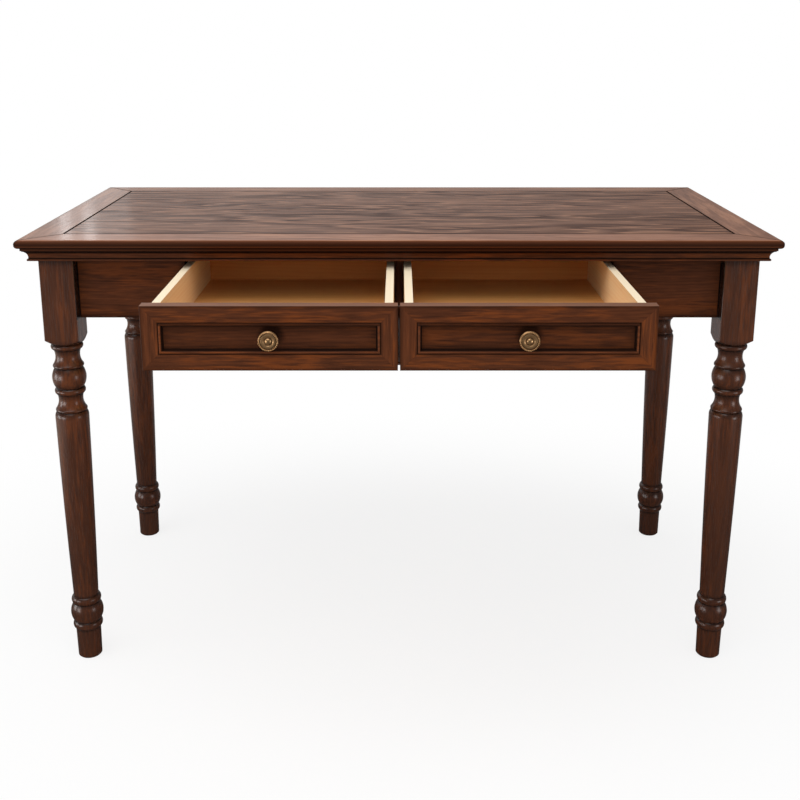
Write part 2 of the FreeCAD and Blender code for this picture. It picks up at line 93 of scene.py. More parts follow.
class DeskFinish(bpy.types.PropertyGroup):
    """Colours of the desk's woods and metals."""

    stain: tint("Stain", (0.128, 0.038, 0.0140), "Middle tone of the stained wood")
    stain_dark: tint("Dark grain", (0.030, 0.0105, 0.0056), "Late rings and streaks of the stained wood")
    stain_red: tint("Red streaks", (0.200, 0.050, 0.0105), "Warm streaks where the stain is thin")
    # The glaze colour is also laid on as painted shade: in creases, under the top's edge, beside the
    # posts, round the knobs and on the gap strips.
    glaze: tint("Glaze", (0.0075, 0.0040, 0.0032), "Dark glaze left in grooves and along joints")
    top_stain: tint("Top", (0.245, 0.114, 0.068), "Middle tone of the top's boards")
    top_dark: tint("Top grain", (0.060, 0.0200, 0.0095), "Dark grain of the top's boards")
    top_pale: tint("Top lines", (0.41, 0.200, 0.112), "Pale lines in the grain of the top's boards")
    pale: tint("Drawer wood", (0.97, 0.58, 0.230), "Middle tone of the drawers' backs and bottoms")
    pale_dark: tint("Drawer grain", (0.72, 0.33, 0.085), "Grain of the drawers' backs and bottoms")
    # Painted light: the sides' tones are paler than the backs' and bottoms', for the light on their
    # inner faces.
    side: tint("Drawer sides", (1.0, 0.75, 0.44), "Middle tone of the drawers' sides")
    side_dark: tint("Side grain", (0.87, 0.51, 0.21), "Grain of the drawers' sides")
    pale_edge: tint("Drawer edge", (0.97, 0.85, 0.64), "Planed upper edges of the drawer boxes")
    inner: tint("Inner wood", (0.36, 0.215, 0.115), "Middle tone of the runners and blocks")
    inner_dark: tint("Inner grain", (0.17, 0.090, 0.044), "Grain of the runners and blocks")
    brass: tint("Brass", (0.68, 0.405, 0.190), "Rubbed brass on the knobs' high parts")
    brass_dark: tint("Patina", (0.058, 0.030, 0.0165), "Dark patina in the knobs' grooves")
    steel: tint("Screws", (0.55, 0.55, 0.54), "Plated steel of the screws")
    steel_dull: tint("Dull steel", (0.30, 0.30, 0.29), "Clouded plating of the screws")


class DeskDetail(bpy.types.PropertyGroup):
    """Sizes of the grain, the joints, the painted shade, the dark strips painted as shade between the
    fronts, and the knobs' beading.
    """

    top_ring: length("Top rings", 0.0088, "Distance between two rings in the top's boards")
    ring: length("Rings", 0.0056, "Distance between two rings in the other stained wood")
    plain_ring: length("Plain rings", 0.0072, "Distance between two rings in the unstained wood")
    joint: length("Joint line", 0.0010, "Half width of the dark line along a joint")
    # Painted shadow in the gap between a post and a board.
    post_gap: length("Post gap", 0.0018, "Reach of the dark gap between a post and a board")
    # Glaze and painted shade out of a turned groove: dark near it, thinner further out.
    groove: length("Groove glaze", 0.0042, "Reach of the dark glaze out of a turned groove")
    hollow: length("Hollow glaze", 0.0100, "Reach of the thin glaze out of a turned groove")
    # The strip is a dark sheet on the meeting edge of each front, painted shade in the gap between the
    # fronts.
    strip: length("Strip", 0.00013, "Thickness of the strip on a meeting edge of the drawer fronts")
    strip_drop: length("Strip drop", 0.0042, "Distance of the strip's ends from the front's ends")
    strip_depth: length("Strip depth", 0.0058, "Width of the strip from front to back")
    bead_count: IntProperty(name="Beads", description="Beads round a knob's rim", default=30, min=8)
    bead: length("Bead", 0.00125, "Radius of one bead on a knob's rim")


class DeskStage(bpy.types.PropertyGroup):
    """Camera, floor and light."""

    distance: length("Camera distance", 2.0633, "Distance of the camera from the middle of the top")
    height: length("Camera height", 1.0938, "Height of the camera above the floor")
    pitch: FloatProperty(
        name="Pitch", description="Camera's tilt below level", default=0.25639, subtype="ANGLE"
    )
    lens: FloatProperty(name="Lens", description="Focal length in millimetres", default=50.87)
    shift: FloatVectorProperty(
        name="Shift", description="Lens shift of the frame", default=(0.00125, -0.1), size=2
    )
    floor: tint("Floor", (0.92, 0.92, 0.92), "Colour of the floor")
    floor_near: tint("Floor in gloss", (0.10, 0.10, 0.10), "Floor in front as gloss sees it")
    floor_far: tint("Floor behind", (0.42, 0.42, 0.42), "Floor behind as gloss sees it")
    floor_left: tint("Floor on the left", (0.72, 0.60, 0.52), "Floor on the left as gloss sees it")
    floor_radius: length("Floor radius", 9.0, "Radius of the round floor")
    ambient: level("Ambient", 0.72, "Even light from all around")
    room: level("Room", 0.10, "Level that gloss sees in front of the desk")
    screen: level("Screen", 0.50, "Level that gloss sees behind the desk")
    overhead: power("Overhead light", 55.0, "Power of the lamp above")
    sides: power("Side lights", 11.0, "Power of the lamps at the sides")
    rim: power("Rim light", 9.0, "Power of the lamp on the left")
    strip: power("Strip light", 0.36, "Power of the strip lamp behind")
    glint: power("Narrow lights", 0.11, "Power of the two narrow lamps")


class Socket:
    """A shader socket, so that maths on it can be written as an expression."""

    def __init__(self, paint, link):
        self.paint = paint
        self.link = link

    def __add__(self, other):
        return self.paint.math("ADD", self, other)

    def __sub__(self, other):
        return self.paint.math("SUBTRACT", self, other)

    def __rsub__(self, other):
        return self.paint.math("SUBTRACT", other, self)

    def __mul__(self, other):
        return self.paint.math("MULTIPLY", self, other)

    def __truediv__(self, other):
        return self.paint.math("DIVIDE", self, other)

    def __rtruediv__(self, other):
        return self.paint.math("DIVIDE", other, self)

    def __pow__(self, other):
        return self.paint.math("POWER", self, other)

    def __rpow__(self, other):
        return self.paint.math("POWER", other, self)

    def __abs__(self):
        return self.paint.math("ABSOLUTE", self)

    __radd__ = __add__
    __rmul__ = __mul__

    def swing(self):
        """Return a noise as a swing about zero."""
        return self - 0.5


class Paint:
    """A node tree that is filled by expressions."""

    def __init__(self, tree):
        self.tree = tree

    def node(self, kind, settings=None, sockets=None):
        """Add a node: its settings first, then its sockets' values or links. Return its outputs."""
        made = self.tree.nodes.new("ShaderNode" + kind)
        for name, value in (settings or {}).items():
            if name == "stops":
                self.set_stops(made.color_ramp.elements, value)
            else:
                setattr(made, name, value)
        for key, value in (sockets or {}).items():
            self.feed(made.inputs[key], value)
        return {output.name: Socket(self, output) for output in made.outputs if output.enabled}

    def feed(self, socket, value):
        """Link a socket, or set its value."""
        if isinstance(value, Socket):
            self.tree.links.new(value.link, socket)
        elif socket.type == "RGBA":
            socket.default_value = (*value[:3], 1.0)
        else:
            socket.default_value = value

    def set_stops(self, elements, stops):
        """Give a ramp its stops of place and grey level."""
        while len(elements) < len(stops):
            elements.new(1.0)
        for element, (place, grey) in zip(elements, stops):
            element.position = place
            element.color = (grey, grey, grey, 1.0)

    def math(self, operation, *values):
        """Return a Math node's value."""
        return self.node("Math", {"operation": operation}, dict(enumerate(values)))["Value"]

    def vector(self, operation, *values):
        """Return a Vector Math node's vector."""
        return self.node("VectorMath", {"operation": operation}, dict(enumerate(values)))["Vector"]

    def parts(self, vector):
        """Return the X, Y and Z of a vector by name."""
        return self.node("SeparateXYZ", None, {0: vector})

    def combine(self, x, y, z):
        """Return the vector of three numbers."""
        return self.node("CombineXYZ", None, {0: x, 1: y, 2: z})["Vector"]

    def mix(self, low, high, share, blend="MIX"):
        """Return a colour between two colours."""
        settings = {"data_type": "RGBA", "blend_type": blend}
        return self.node("Mix", settings, {0: share, 6: low, 7: high})["Result"]

    def step(self, value, low, high):
        """Return a smooth step from 0 at one value to 1 at the other."""
        settings = {"interpolation_type": "SMOOTHSTEP"}
        sockets = {"Value": value, "From Min": low, "From Max": high}
        return self.node("MapRange", settings, sockets)["Result"]

    def line(self, value, centre, half):
        """Return a soft line: 1 where a value meets the centre, 0 beyond the half width."""
        return 1.0 - self.step(abs(value - centre), 0.0, half)

    def ramp(self, value, stops):
        """Return the grey level of a value on a ramp."""
        shade = self.node("ValToRGB", {"stops": stops}, {"Fac": value})
        return self.parts(shade["Color"])["X"]

    def noise(self, point, scale, detail, roughness=0.5):
        """Return a noise from 0 to 1."""
        sockets = {"Vector": point, "Scale": scale, "Detail": detail, "Roughness": roughness}
        return self.node("TexNoise", None, sockets)["Fac"]

    def smaller(self, first, second):
        """Return the smaller of two values."""
        return self.math("MINIMUM", first, second)

    def larger(self, first, *others):
        """Return the largest of some values."""
        for other in others:
            first = self.math("MAXIMUM", first, other)
        return first

    def away(self, aside, above):
        """Return the distance of a point that lies so far aside and so far above."""
        return (aside ** 2.0 + above ** 2.0) ** 0.5

    def direct(self, rays):
        """Return 1 where the camera sees a thing straight or through glass, and 0 elsewhere."""
        return self.larger(rays["Is Camera Ray"], rays["Is Transmission Ray"])


class Finish(Paint):
    """A piece's material, painted by the place on the piece."""

    def __init__(self, name, **constants):
        self.material = bpy.data.materials.new(name)
        self.material.use_nodes = True
        super().__init__(self.material.node_tree)
        self.shader = self.tree.nodes["Principled BSDF"]
        self.coat(**constants)
        self.place = self.node("TexCoord")["Object"]
        self.at = self.parts(self.place)

    def coat(self, **sockets):
        """Feed the shader's sockets."""
        for socket, value in sockets.items():
            self.feed(self.shader.inputs[socket.replace("_", " ")], value)

    def bump(self, height, strength, distance):
        """Feed the shader's normal from a height."""
        sockets = {"Strength": strength, "Distance": distance, "Height": height}
        self.coat(Normal=self.node("Bump", None, sockets)["Normal"])

    def inside(self, low, high, axis):
        """Return the distance from the nearer of two sides, along one axis."""
        index = "XYZ".index(axis)
        middle = (low[index] + high[index]) / 2
        half = (high[index] - low[index]) / 2
        return half - abs(self.at[axis] - middle)

    def inset(self, low, high, axes):
        """Return the distance from the nearest side of a rectangle, along two axes."""
        return self.smaller(*(self.inside(low, high, axis) for axis in axes))

    def fine_noise(self, cells):
        """Return a fine noise with so many cells in a metre along each axis."""
        return self.noise(self.vector("MULTIPLY", self.place, cells), 1.0, 2.0)

    def put_on(self, *names):
        """Give the material to CAD nodes."""
        for name in names:
            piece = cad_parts[name]
            piece.data.materials.clear()
            piece.data.materials.append(self.material)


# Streaks of the grain: cells in a metre along it and across it, and layers of detail.
BEND = (2.6, 11.0, 4.0)
FIBRE = (7.0, 420.0, 3.0)
MOTTLE = (24.0, 260.0, 4.0)
TOP_BOARD_MOTTLE = (3.5, 110.0, 4.0)
TOP_BORDER_MOTTLE = (9.0, 110.0, 4.0)
BROAD = (1.6, 26.0, 3.0)
CLOUD = (4.0, 22.0, 3.0)
PORES = (34.0, 1500.0, 1.0)
FRAY = (9.0, 210.0, 3.0)
WAVES = (2.7, 15.0, 2.0)
ZONES = (2.2, 20.0, 2.0)
PLAIN_FIBRE = (9.0, 520.0, 3.0)
PLAIN_BROAD = (1.8, 22.0, 3.0)
FLECKS = (42.0, 1300.0, 1.0)


class Board:
    """The grain of one piece of wood: places along, across and through it, and its rings."""

    # Reach of the piece's place in the noise, the pith's place, and the tilt of the rings.
    noise_reach = 40
    pith_aside = 0.035
    pith_shares = (0.8, 1.3)
    tilt_shares = (0.7, 1.3)
    # Rings: how unevenness shifts them and shades them, and where late wood starts and ends.
    uneven_turns = 0.55
    uneven_along = 0.8
    uneven_shift = 1.6
    uneven_range = (0.34, 0.66)
    uneven_share = 0.4
    late_start = (0.3, 0.86)
    late_end = (0.9, 1.0)
    late_share = 0.6
    # Wavy figure: its fraying, its waves, and the turns where its flecks and veins lie.
    fray_share = 0.95
    fray_fibre_share = 0.35
    wave_count = 8.0
    zone_range = (0.36, 0.62)
    zone_levels = (0.25, 0.75)
    fleck_start = (0.22, 0.80)
    fleck_end = (0.84, 0.97)
    vein_turn = 0.10
    vein_half = 0.14

    def __init__(self, paint, node, along, seed, ring, taper=0.022, pith=0.075, wander=0.010):
        draw = random.Random(seed)
        low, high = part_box(node)
        centre = (low + high) / 2
        local = paint.parts(paint.vector("SUBTRACT", paint.place, centre))
        self.paint = paint
        self.along, self.across, self.through = (local[axis] for axis in AXES[along])
        self.shift = Vector([draw.uniform(0, self.noise_reach) for axis in AXES])
        side = draw.uniform(-self.pith_aside, self.pith_aside)
        below = -pith * draw.uniform(*self.pith_shares)
        tilt = taper * draw.choice((-1.0, 1.0)) * draw.uniform(*self.tilt_shares)
        bend = self.streak(*BEND).swing()
        reach = paint.away(self.across - side, self.through - below)
        self.phase = (reach + self.along * tilt + bend * (2.0 * wander)) / ring

    def streak(self, along, across, detail):
        """Return a noise drawn out along the grain."""
        point = self.paint.combine(self.along * along, self.across * across, self.through * across)
        return self.paint.noise(self.paint.vector("ADD", point, self.shift), 1.0, detail)

    def rings(self):
        """Return uneven rings, from 0 in the early wood to 1 in the late wood."""
        paint = self.paint
        point = paint.combine(self.phase * self.uneven_turns, self.along * self.uneven_along, 0.0)
        uneven = paint.noise(paint.vector("ADD", point, self.shift), 1.0, 3.0, 0.6)
        turn = paint.math("FRACT", self.phase + uneven * self.uneven_shift)
        late = paint.step(turn, *self.late_start) * (1.0 - paint.step(turn, *self.late_end))
        return paint.step(uneven, *self.uneven_range) * self.uneven_share + late * self.late_share

    def figure(self, fibre):
        """Return the dark flecks and the pale veins of wavy grain, frayed along the fibres."""
        paint = self.paint
        fray = self.streak(*FRAY).swing() * self.fray_share + fibre.swing() * self.fray_fibre_share
        turn = paint.math("FRACT", self.streak(*WAVES) * self.wave_count + fray)
        zone = paint.step(self.streak(*ZONES), *self.zone_range)
        fleck = paint.step(turn, *self.fleck_start) * (1.0 - paint.step(turn, *self.fleck_end))
        fleck = fleck * (self.zone_levels[0] + self.zone_levels[1] * zone)
        return fleck, paint.line(turn, self.vein_turn, self.vein_half)


# Stained wood: shares of the parts of its grain, and the levels of noise where they set in.
RING_MIDDLE = 0.4
RING_SHARE = 0.7
BROAD_SHARE = 1.3
MOTTLE_SHARE = 2.0
DARK_GROUND = 0.34
WARM_MOTTLE = 0.8
WARM_RANGE = (0.46, 0.72)
PORE_RANGE = (0.60, 0.72)
PORE_SHARE = 0.55
VEIN_SHARE = 0.55
# Lacquer over the stain: where grain, glaze and painted shade wear it or dull it, and the relief under
# it.
LACQUER_IOR = 1.19
PORE_WEAR = 0.5
FLECK_WEAR = 0.6
FIBRE_DULLING = 0.08
PORE_DULLING = 0.10
GRAIN_RELIEF = 0.2 * MM
FINE_RELIEF = 0.1 * MM
# Painted shadow in the gap where a board meets a post.
GAP_SHADOW = 0.96
# Unstained wood: shares of the parts of its grain.
PLAIN_RING_SHARE = 0.30
PLAIN_FIBRE_SHARE = 0.50
PLAIN_BROAD_SHARE = 1.1
PLAIN_GROUND = 0.12
FLECK_RANGE = (0.62, 0.74)
FLECK_SHARE = 0.35


def stained_wood(
    node, along, seed, tones, ring, glaze, light=1.0, contrast=1.0, warmth=0.6, figure=0.0,
    mottling=MOTTLE, fine=0.55, edge=None, polish=0.5, sheen=0.36, shine=0.015, gloss=0.30,
    matte=0.0, **grain,
):
    """Finish a stained piece: rings, fibres, pores, and glaze with painted shade under a satin lacquer.
    """
    finish = bpy.context.scene.desk_finish
    middle, dark, warm = tones
    paint = Finish("stain_" + node, Specular_IOR_Level=shine, Coat_Roughness=sheen, Coat_IOR=LACQUER_IOR)
    board = Board(paint, node, along, seed, ring, **grain)
    rings = board.rings()
    fibre = board.streak(*FIBRE)
    mottle = board.streak(*mottling)
    broad = board.streak(*BROAD)
    cloud = board.streak(*CLOUD)
    pores = paint.step(board.streak(*PORES), *PORE_RANGE)
    bands = (rings - RING_MIDDLE) * RING_SHARE
    bands = bands + broad.swing() * BROAD_SHARE + mottle.swing() * MOTTLE_SHARE
    colour = paint.mix(middle, dark, bands * contrast + fibre.swing() * fine + DARK_GROUND)
    thin = paint.step(cloud + mottle.swing() * -WARM_MOTTLE, *WARM_RANGE)
    colour = paint.mix(colour, warm, thin * warmth)
    colour = paint.mix(colour, dark, pores * PORE_SHARE)
    worn = pores * PORE_WEAR
    if figure:
        flecks, veins = board.figure(fibre)
        colour = paint.mix(colour, warm, veins * (figure * VEIN_SHARE))
        colour = paint.mix(colour, dark, flecks * figure)
        worn = paint.larger(worn, flecks * FLECK_WEAR)
    if light != 1.0:
        colour = paint.mix(colour, (light, light, light), 1.0, "MULTIPLY")
    if edge is not None:
        colour = edge(paint, colour)
    # Each piece's mask gives its glaze, and painted shade where its shade would fall.
    painted_shade_and_glaze = glaze(paint)
    paint.coat(
        Base_Color=paint.mix(colour, finish.glaze, painted_shade_and_glaze),
        Roughness=gloss + fibre.swing() * FIBRE_DULLING + pores * PORE_DULLING + painted_shade_and_glaze * matte,
        Coat_Weight=polish * (1.0 - paint.larger(worn, painted_shade_and_glaze)),
    )
    paint.bump(fibre * 0.35 - pores * 0.8 - rings * 0.25, 0.20, GRAIN_RELIEF)
    paint.put_on(node)


def wood_tones():
    """Return the middle, dark and warm tones of the stained wood."""
    finish = bpy.context.scene.desk_finish
    return finish.stain, finish.stain_dark, finish.stain_red


def plain_wood(name, node, along, seed, tones, gloss, edge=None, shade_wash=None):
    """Finish a pale or bare piece, with soft rings and fine fibres, and a wash of painted shade where
    one is given.
    """
    middle, dark = tones
    ring = bpy.context.scene.desk_detail.plain_ring
    paint = Finish(name, Specular_IOR_Level=0.30)
    board = Board(paint, node, along, seed, ring, taper=0.020, pith=0.11, wander=0.012)
    rings = board.rings()
    fibre = board.streak(*PLAIN_FIBRE)
    broad = board.streak(*PLAIN_BROAD)
    flecks = paint.step(board.streak(*FLECKS), *FLECK_RANGE)
    bands = rings * PLAIN_RING_SHARE + fibre.swing() * PLAIN_FIBRE_SHARE
    bands = bands + broad.swing() * PLAIN_BROAD_SHARE
    colour = paint.mix(middle, dark, bands + PLAIN_GROUND)
    colour = paint.mix(colour, dark, flecks * FLECK_SHARE)
    # Painted shade: the wash darkens a piece that stands in shade.
    if shade_wash is not None:
        colour = paint.mix(colour, shade_wash, 1.0, "MULTIPLY")
    if edge is not None:
        colour = edge(paint, colour)
    paint.coat(Base_Color=colour, Roughness=gloss + fibre.swing() * 0.12 + flecks * 0.08)
    paint.bump(fibre * 0.4 - flecks * 0.6 - rings * 0.2, 0.22, GRAIN_RELIEF)
    paint.put_on(node)


# Noise on the metals and strips: cells in a metre.
STEEL_CLOUDS = 240.0
STEEL_SCRATCHES = (900.0, 900.0, 90.0)
STRIP_FIBRES = (2400.0, 2400.0, 60.0)
BRASS_CLOUDS = 420.0
BRASS_SPECKS = 1800.0


def plated_steel(name):
    """Return the finish of the screws: plated steel, clouded and lightly scratched."""
    finish = bpy.context.scene.desk_finish
    paint = Finish(name, Metallic=1.0)
    cloud = paint.noise(paint.place, STEEL_CLOUDS, 3.0)
    scratch = paint.fine_noise(STEEL_SCRATCHES)
    colour = paint.mix(finish.steel, finish.steel_dull, paint.step(cloud, 0.42, 0.75))
    paint.coat(Base_Color=colour, Roughness=0.34 + cloud * 0.2 + scratch * 0.08)
    paint.bump(scratch, 0.12, FINE_RELIEF)
    return paint


def painted_gap_shade(name):
    """Return the finish of a gap strip: dark glaze colour over fine upright fibres, painted shade in the
    gap between the drawer fronts.
    """
    finish = bpy.context.scene.desk_finish
    paint = Finish(name, Specular_IOR_Level=0.02)
    fibre = paint.fine_noise(STRIP_FIBRES)
    colour = paint.mix(finish.glaze, finish.stain_dark, fibre * 0.5)
    paint.coat(Base_Color=colour, Roughness=0.7 + fibre * 0.2)
    paint.bump(fibre, 0.15, FINE_RELIEF)
    return paint


# Rings on a knob's face: the distance in from its rim, and the half width.
OUTER_GROOVE = (3.2 * MM, 1.1 * MM)
BROAD_BAND = (4.9 * MM, 2.3 * MM)
NARROW_BAND = (7.6 * MM, 1.9 * MM)
INNER_GROOVE = (9.3 * MM, 1.3 * MM)
# Dirt in the grooves and the bands; in a band, between its hatching and more on the hatching.
GROOVE_DIRT = 0.97
BROAD_DIRT = (0.36, 0.36)
NARROW_DIRT = (0.06, 0.30)
HATCH_LINES = 52.0
PATINA_SHARE = 0.55


def aged_brass(name, centre, radius, rubbed=0.35):
    """Return the finish of a knob: brass rubbed on its high parts, dark in its grooves."""
    finish = bpy.context.scene.desk_finish
    paint = Finish(name, Specular_IOR_Level=0.15)
    aside = paint.at["X"] - centre.x
    above = paint.at["Z"] - centre.z
    away = paint.away(aside, above)
    outer, broad, narrow, inner = (
        paint.line(away, radius - inset, half)
        for inset, half in (OUTER_GROOVE, BROAD_BAND, NARROW_BAND, INNER_GROOVE)
    )
    turn = paint.math("ARCTAN2", above, aside)
    hatch = 0.5 + 0.5 * paint.math("SINE", turn * HATCH_LINES)
    cloud = paint.noise(paint.place, BRASS_CLOUDS, 3.0)
    fine = paint.noise(paint.place, BRASS_SPECKS, 2.0)
    broad_dirt = broad * (BROAD_DIRT[0] + BROAD_DIRT[1] * hatch)
    narrow_dirt = narrow * (NARROW_DIRT[0] + NARROW_DIRT[1] * hatch)
    dirt = paint.larger(paint.larger(outer, inner) * GROOVE_DIRT, paint.larger(broad_dirt, narrow_dirt))
    clear, dull = 0.40 + 0.2 * rubbed, 0.62 + 0.2 * rubbed
    patina = paint.step(cloud * 0.7 + fine * 0.3, clear, dull) * PATINA_SHARE
    dark = paint.larger(dirt, patina)
    paint.coat(
        Base_Color=paint.mix(finish.brass, finish.brass_dark, dark),
        Metallic=1.0 - dark * 0.35,
        Roughness=0.30 + dark * 0.28 + fine * 0.10,
    )
    paint.bump(fine, 0.10, FINE_RELIEF)
    return paint


def nodes_named(*starts):
    """Return in order the names of the CAD nodes that start with these words."""
    return sorted(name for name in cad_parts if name.startswith(starts))


def add_piece(scene, name, shape):
    """Make a piece of a shape, link it to the scene and return it."""
    mesh = bpy.data.meshes.new(name)
    shape.to_mesh(mesh)
    shape.free()
    piece = bpy.data.objects.new(name, mesh)
    scene.collection.objects.link(piece)
    return piece


class DESK_OT_top(bpy.types.Operator):
    """Finish the boards and the mitred border of the top"""

    bl_idname = "desk.finish_top"
    bl_label = "Top"

    board_seed = 11
    board_lights = (0.94, 0.88, 0.96, 0.90)
    border_seed = 31
    # Painted light: the lightness of each side of the border is set apart to match how bright that side
    # shows in the stage's light.
    border_lights = {"front": 1.48, "back": 1.3, "left": 1.15, "right": 1.42}
    # Reach of the glaze along the joints, in half widths of the joint line, and its weight.
    end_shares = (1.8, 3.4)
    side_share = 1.2
    side_glaze = 0.5
    outer_share = 4.0
    outer_glaze = 0.95
    mitre_share = 4.0
    mitre_glaze = 0.9
    inner_share = 2.0
    inner_glaze = 0.95
    # Depths below the top between which the border's rounding turns from pale to stained.
    flat_depth = 0.2 * MM
    rounding_depth = 1.2 * MM
    # Painted shade and painted highlight lines on the border's moulded edge, as levels of glaze colour
    # by shares of its height.
    nose_shade_and_highlights = (
        (0.0, 0.56), (0.08, 0.52), (0.16, 0.60), (0.205, 0.98), (0.31, 0.98), (0.36, 0.40),
        (0.44, 0.42), (0.53, 0.84), (0.66, 0.76), (0.86, 0.50), (0.985, 0.0),
    )

    def execute(self, context):
        finish = context.scene.desk_finish
        tones = (finish.top_stain, finish.top_dark, finish.top_pale)
        border = {side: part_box("top_border_" + side) for side in SIDES}
        low = Vector((border["left"][1].x, border["front"][1].y, 0))
        high = Vector((border["right"][0].x, border["back"][0].y, 0))
        self.finish_boards(context.scene.desk_detail, tones, low, high)
        self.finish_border(context.scene.desk_detail, tones, border, low, high)
        return {"FINISHED"}

    def finish_boards(self, detail, tones, low, high):
        """Finish the boards, with dark lines where they meet each other and the border."""
        joint = detail.joint
        names = nodes_named("top_board_")
        width = (high.y - low.y) / len(names)
        middle = (low.y + high.y) / 2
        half = middle - low.y
        for index, name in enumerate(names):
            centre = low.y + width * (index + 0.5)

            def joints(paint):
                from_end = high.x - abs(paint.at["X"])
                ends = 1.0 - paint.step(from_end, *(joint * share for share in self.end_shares))
                aside = abs(paint.at["Y"] - centre)
                sides = paint.step(aside, width / 2 - joint * self.side_share, width / 2)
                outer = paint.step(abs(paint.at["Y"] - middle), half - joint * self.outer_share, half)
                return paint.larger(ends, sides * self.side_glaze, outer * self.outer_glaze)

            stained_wood(
                name, "X", self.board_seed + index, tones, detail.top_ring, joints,
                light=self.board_lights[index], contrast=0.5, warmth=0.25, figure=1.0,
                mottling=TOP_BOARD_MOTTLE, polish=0.38, sheen=0.18, shine=0.004, gloss=0.16,
                matte=0.6, wander=0.022,
            )

    def finish_border(self, detail, tones, border, low, high):
        """Finish the border, with dark mitres, and glaze painted as shade and highlight lines along its
        moulded edge.
        """
        joint = detail.joint
        stain = wood_tones()[0]
        for seed, (side, along) in enumerate(SIDES.items()):
            foot, head = (corner.z for corner in border[side])

            def seams(paint):
                from_side = border["right"][1].x - abs(paint.at["X"])
                from_back = border["back"][1].y - abs(paint.at["Y"])
                mitre = paint.line(from_side - from_back, 0.0, joint * self.mitre_share)
                outside = 0.0 - paint.inset(low, high, "XY")
                inner = 1.0 - paint.step(outside, joint, joint * self.inner_share)
                # Painted shade and painted highlight lines along the moulded edge.
                edges = paint.ramp((paint.at["Z"] - foot) / (head - foot), self.nose_shade_and_highlights)
                return paint.larger(mitre * self.mitre_glaze, inner * self.inner_glaze, edges)

            def rounded(paint, colour):
                flat = paint.step(paint.at["Z"], head - self.rounding_depth, head - self.flat_depth)
                return paint.mix(stain, colour, flat)

            stained_wood(
                "top_border_" + side, along, self.border_seed + seed, tones, detail.ring, seams,
                light=self.border_lights[side], contrast=0.4, warmth=0.3, mottling=TOP_BORDER_MOTTLE,
                edge=rounded, polish=0.30, shine=0.020, gloss=0.14, matte=0.6, pith=0.12,
            )


class DESK_OT_moulding(bpy.types.Operator):
    """Finish the cove and bead moulding under the top, with painted shade in its crease and under the
    top's edge
    """

    bl_idname = "desk.finish_moulding"
    bl_label = "Moulding"

    first_seed = 51
    crease_rise = 4.1 * MM
    crease_half = 1.9 * MM
    crease_glaze_and_shade = 0.96
    shade_start = 7.0 * MM
    shade_full = 3.5 * MM
    shade_glaze = 0.94

    def execute(self, context):
        detail = context.scene.desk_detail
        for seed, (side, along) in enumerate(SIDES.items()):
            name = "moulding_" + side
            low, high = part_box(name)

            # Glaze and painted shade in the crease above the bead, and painted shade under the top's
            # edge.
            def creases(paint):
                height = paint.at["Z"]
                bead = paint.line(height, low.z + self.crease_rise, self.crease_half)
                shade_under_top = paint.step(height, high.z - self.shade_start, high.z - self.shade_full)
                return paint.larger(bead * self.crease_glaze_and_shade, shade_under_top * self.shade_glaze)

            stained_wood(
                name, along, self.first_seed + seed, wood_tones(), detail.ring, creases,
                light=0.85, contrast=0.45, shine=0.05, gloss=0.22, pith=0.15,
            )
        return {"FINISHED"}


class DESK_OT_legs(bpy.types.Operator):
    """Finish the four legs, with glaze and painted shade in the grooves of the turning, and painted
    shade under the top, at the foot and beside the aprons
    """

    bl_idname = "desk.finish_legs"
    bl_label = "Legs"

    first_seed = 71
    # Heights of the turned grooves above the floor, and the weights of the glaze and painted shade in
    # and round them.
    grooves = (0.056, 0.070, 0.104, 0.118, 0.461, 0.492, 0.503, 0.538, 0.570, 0.580)
    groove_glaze_and_shade = 0.98
    hollow_shade = 0.65
    # Heights between which painted shade sets in under the top, and fades out above the foot.
    top_shade = (0.712, 0.728)
    top_shade_level = 0.7
    foot_shade = (0.10, 0.46)
    foot_shade_level = 0.30
    # Painted shadow on the inner faces of a post beside the apron: its depth, and where it starts at the
    # apron's lower edge.
    gap_depths = (0.3 * MM, 1.0 * MM)
    gap_below = 0.5 * MM
    gap_above = 1.5 * MM

    def hoops(self, paint, top, reach, weight):
        """Return a level that peaks at each groove and fades out above and below it."""
        stops = []
        for height in self.grooves:
            for offset, glaze in ((-reach, 0.0), (0.0, weight), (reach, 0.0)):
                stops.append(((height + offset) / top, glaze))
        return paint.ramp(paint.at["Z"] / top, sorted(stops))

    def execute(self, context):
        detail = context.scene.desk_detail
        apron_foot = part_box("front_board_left")[0].z
        gap_start = apron_foot - self.gap_below
        gap_full = apron_foot + self.gap_above
        for seed, name in enumerate(nodes_named("leg_")):
            low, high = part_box(name)
            inner = min(abs(low.x), abs(high.x))

            def ringed(paint):
                height = paint.at["Z"]
                # Glaze and painted shade in each groove, and wider painted shade round it; painted shade
                # under the top and towards the foot; painted shadow beside the apron.
                dark = self.hoops(paint, high.z, detail.groove, self.groove_glaze_and_shade)
                thin = self.hoops(paint, high.z, detail.hollow, self.hollow_shade)
                shade_under_top = paint.step(height, *self.top_shade) * self.top_shade_level
                foot = self.foot_shade_level - self.foot_shade_level * paint.step(height, *self.foot_shade)
                beside = 1.0 - paint.step(abs(paint.at["X"]) - inner, *self.gap_depths)
                gap = beside * paint.step(height, gap_start, gap_full)
                return paint.larger(dark, thin, shade_under_top, foot, gap * GAP_SHADOW)

            stained_wood(
                name, "Z", self.first_seed + seed, wood_tones(), detail.ring, ringed,
                light=0.78, contrast=0.32, warmth=0.55, fine=0.18, polish=0.35, sheen=0.30,
                shine=0.36, gloss=0.26, pith=0.09, taper=0.012, wander=0.006,
            )
        return {"FINISHED"}


